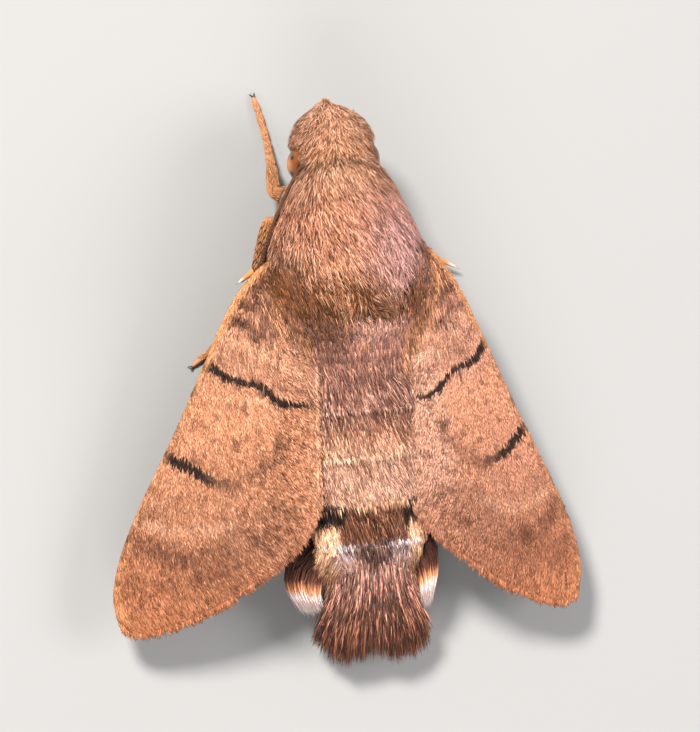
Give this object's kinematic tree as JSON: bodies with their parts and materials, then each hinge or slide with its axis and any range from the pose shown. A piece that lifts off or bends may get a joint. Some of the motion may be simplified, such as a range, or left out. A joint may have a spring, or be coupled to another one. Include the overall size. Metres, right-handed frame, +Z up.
{
  "type": "hummingbird hawk moth, life-size still model",
  "caption": "Life-size hawk moth at rest, wings folded back over a broad furred body with side tufts and a tail fan.",
  "frame": {"origin": "on the surface that the feet stand on, below the middle of the moth's outline from above", "axes": "-Y is where the head points, +X is the moth's left side, +Z is up from the surface"},
  "size_m": [0.0255, 0.0307, 0.0089],
  "materials": {
    "coat": "soft, short fur of hair-like scales, pinkish brown above and cream below",
    "abdomen_scales": "matt, overlapping scales in rings, pinkish brown to pale buff",
    "dark_band": "matt, dark brown scales with black and cream side patches",
    "tail_scales": "matt, long flat scales, purple brown with rusty tips",
    "fore_wing_scales": "matt, fine flat scales, warm brown with two dark lines",
    "hind_wing_scales": "matt, fine flat scales, copper orange with a brown edge",
    "eye": "glossy, finely faceted, amber with a dark spot",
    "antenna": "satin, ringed, grey brown",
    "leg_scales": "satin scales and short hairs, yellowish buff with pale spurs",
    "tongue": "satin, dark brown, finely ringed"
  },
  "bodies": {
    "root": {"head": "coat", "thorax": "coat", "tongue": "tongue", "abdomen_1": "abdomen_scales", "abdomen_2": "abdomen_scales", "abdomen_3": "abdomen_scales", "abdomen_4": "abdomen_scales", "abdomen_5": "dark_band", "abdomen_6": "abdomen_scales", "tail_fan": "tail_scales", "fore_wing_left": "fore_wing_scales", "hind_wing_left": "hind_wing_scales", "eye_left": "eye", "palp_left": "coat", "antenna_left": "antenna", "fore_wing_right": "fore_wing_scales", "hind_wing_right": "hind_wing_scales", "eye_right": "eye", "palp_right": "coat", "antenna_right": "antenna", "fore_left_femur": "leg_scales", "fore_left_tibia": "leg_scales", "fore_left_foot": "leg_scales", "fore_right_femur": "leg_scales", "fore_right_tibia": "leg_scales", "fore_right_foot": "leg_scales", "mid_left_femur": "leg_scales", "mid_left_tibia": "leg_scales", "mid_left_foot": "leg_scales", "mid_right_femur": "leg_scales", "mid_right_tibia": "leg_scales", "mid_right_foot": "leg_scales", "hind_left_femur": "leg_scales", "hind_left_tibia": "leg_scales", "hind_left_foot": "leg_scales", "hind_right_femur": "leg_scales", "hind_right_tibia": "leg_scales", "hind_right_foot": "leg_scales"}
  },
  "joints": []
}
